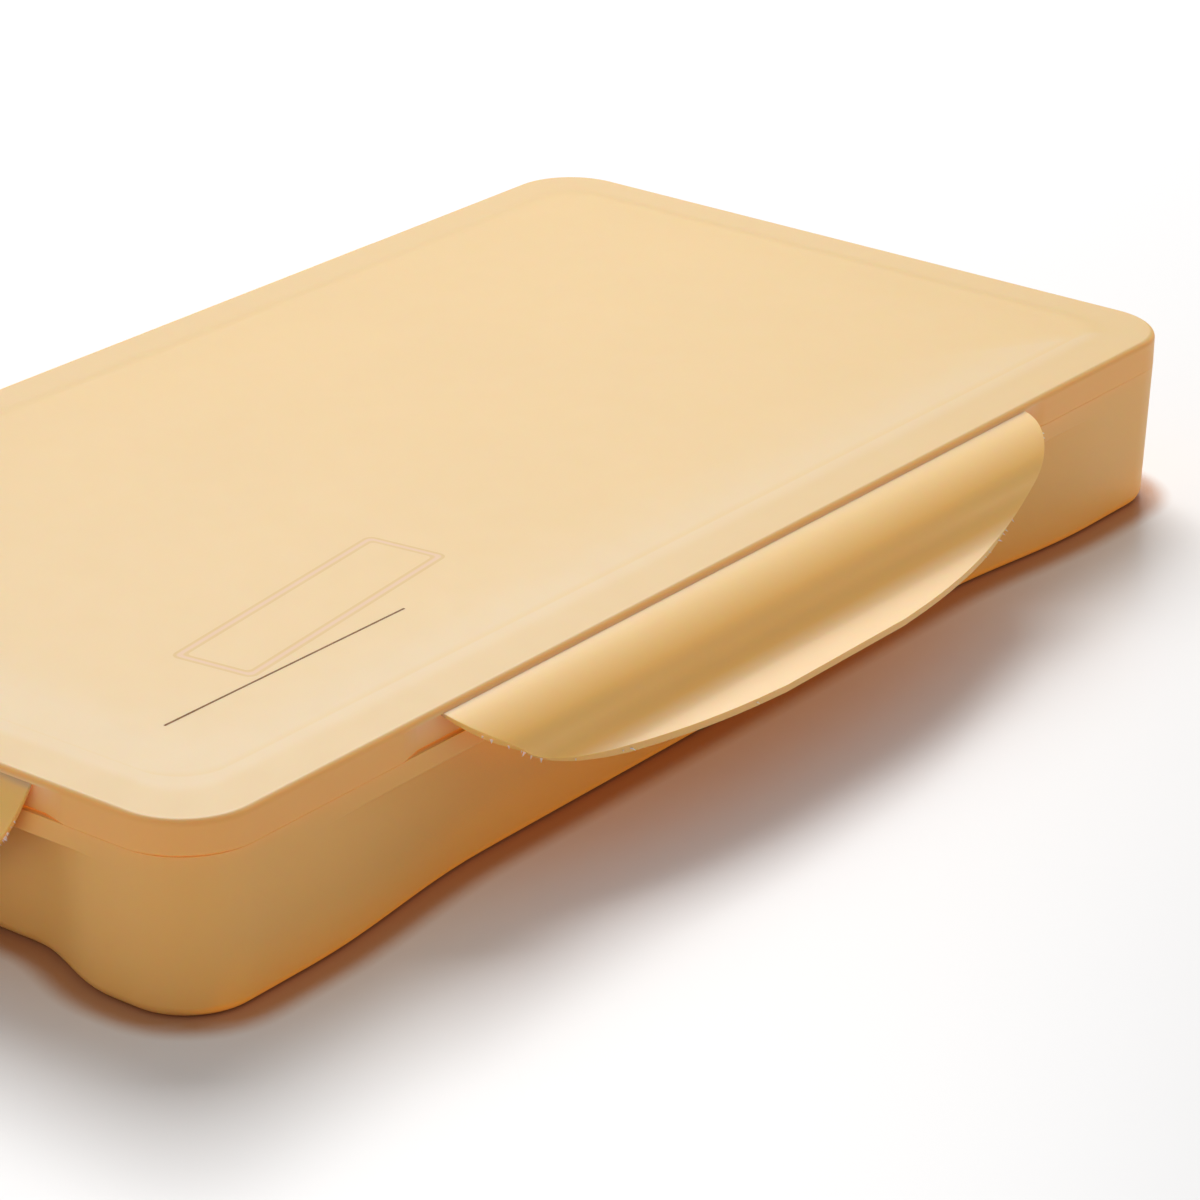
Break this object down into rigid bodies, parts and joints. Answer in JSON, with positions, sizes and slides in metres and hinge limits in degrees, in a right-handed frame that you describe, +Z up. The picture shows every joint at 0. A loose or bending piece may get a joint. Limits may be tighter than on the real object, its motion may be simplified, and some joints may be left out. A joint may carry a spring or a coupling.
{
  "type": "gouache paint set box",
  "caption": "Flat snap-lid paint case with hinged side flaps over a lift-out mixing palette and a grid of square paint cups.",
  "frame": {"origin": "middle of the ring that the closed case stands on", "axes": "+X along the case, +Y towards its back, +Z up; the flap that is seen standing open is on -Y"},
  "size_m": [0.3304, 0.2106, 0.0384],
  "materials": {
    "case": "satin moulded polypropylene, pastel yellow",
    "flaps": "satin moulded polypropylene, pastel yellow, stress-whitened along the hinge",
    "seal": "matt pale elastomer",
    "palette": "semi-gloss white",
    "cups": "thin milky plastic",
    "paint_01": "opaque matt gouache, white",
    "paint_02": "opaque matt gouache, lemon yellow",
    "paint_03": "opaque matt gouache, golden yellow",
    "paint_04": "opaque matt gouache, orange",
    "paint_05": "opaque matt gouache, vermilion",
    "paint_06": "opaque matt gouache, crimson",
    "paint_07": "opaque matt gouache, pink",
    "paint_08": "opaque matt gouache, violet",
    "paint_09": "opaque matt gouache, ultramarine",
    "paint_10": "opaque matt gouache, blue",
    "paint_11": "opaque matt gouache, sky blue",
    "paint_12": "opaque matt gouache, turquoise",
    "paint_13": "opaque matt gouache, deep green",
    "paint_14": "opaque matt gouache, leaf green",
    "paint_15": "opaque matt gouache, ochre",
    "paint_16": "opaque matt gouache, sienna",
    "paint_17": "opaque matt gouache, umber",
    "paint_18": "opaque matt gouache, black"
  },
  "bodies": {
    "tray": {"tray": "case", "cup_01": "cups", "cup_02": "cups", "cup_03": "cups", "cup_04": "cups", "cup_05": "cups", "cup_06": "cups", "cup_07": "cups", "cup_08": "cups", "cup_09": "cups", "cup_10": "cups", "cup_11": "cups", "cup_12": "cups", "cup_13": "cups", "cup_14": "cups", "cup_15": "cups", "cup_16": "cups", "cup_17": "cups", "cup_18": "cups", "paint_01": "paint_01", "paint_02": "paint_02", "paint_03": "paint_03", "paint_04": "paint_04", "paint_05": "paint_05", "paint_06": "paint_06", "paint_07": "paint_07", "paint_08": "paint_08", "paint_09": "paint_09", "paint_10": "paint_10", "paint_11": "paint_11", "paint_12": "paint_12", "paint_13": "paint_13", "paint_14": "paint_14", "paint_15": "paint_15", "paint_16": "paint_16", "paint_17": "paint_17", "paint_18": "paint_18"},
    "palette": {"palette": "palette"},
    "lid": {"lid": "case", "seal_ring": "seal"},
    "front_flap": {"front_flap": "flaps"},
    "back_flap": {"back_flap": "flaps"},
    "left_flap": {"left_flap": "flaps"},
    "right_flap": {"right_flap": "flaps"}
  },
  "joints": [
    {"name": "palette_lift", "type": "slide", "parent": "tray", "child": "palette", "axis": [0, 0, 1], "range_m": [0, 0.045]},
    {"name": "lid_lift", "type": "slide", "parent": "palette", "child": "lid", "axis": [0, 0, 1], "range_m": [0, 0.09]},
    {"name": "front_flap_hinge", "type": "hinge", "parent": "lid", "child": "front_flap", "pos_m": [0, -0.08365, 0.0364], "axis": [-1, 0, 0], "range_deg": [-49, 27], "stiffness_Nm_per_rad": 0.02},
    {"name": "back_flap_hinge", "type": "hinge", "parent": "lid", "child": "back_flap", "pos_m": [0, 0.08365, 0.0364], "axis": [1, 0, 0], "range_deg": [-49, 27], "stiffness_Nm_per_rad": 0.02},
    {"name": "left_flap_hinge", "type": "hinge", "parent": "lid", "child": "left_flap", "pos_m": [-0.15715, 0, 0.0364], "axis": [0, 1, 0], "range_deg": [-11, 65], "stiffness_Nm_per_rad": 0.02},
    {"name": "right_flap_hinge", "type": "hinge", "parent": "lid", "child": "right_flap", "pos_m": [0.15715, 0, 0.0364], "axis": [0, -1, 0], "range_deg": [-11, 65], "stiffness_Nm_per_rad": 0.02}
  ]
}
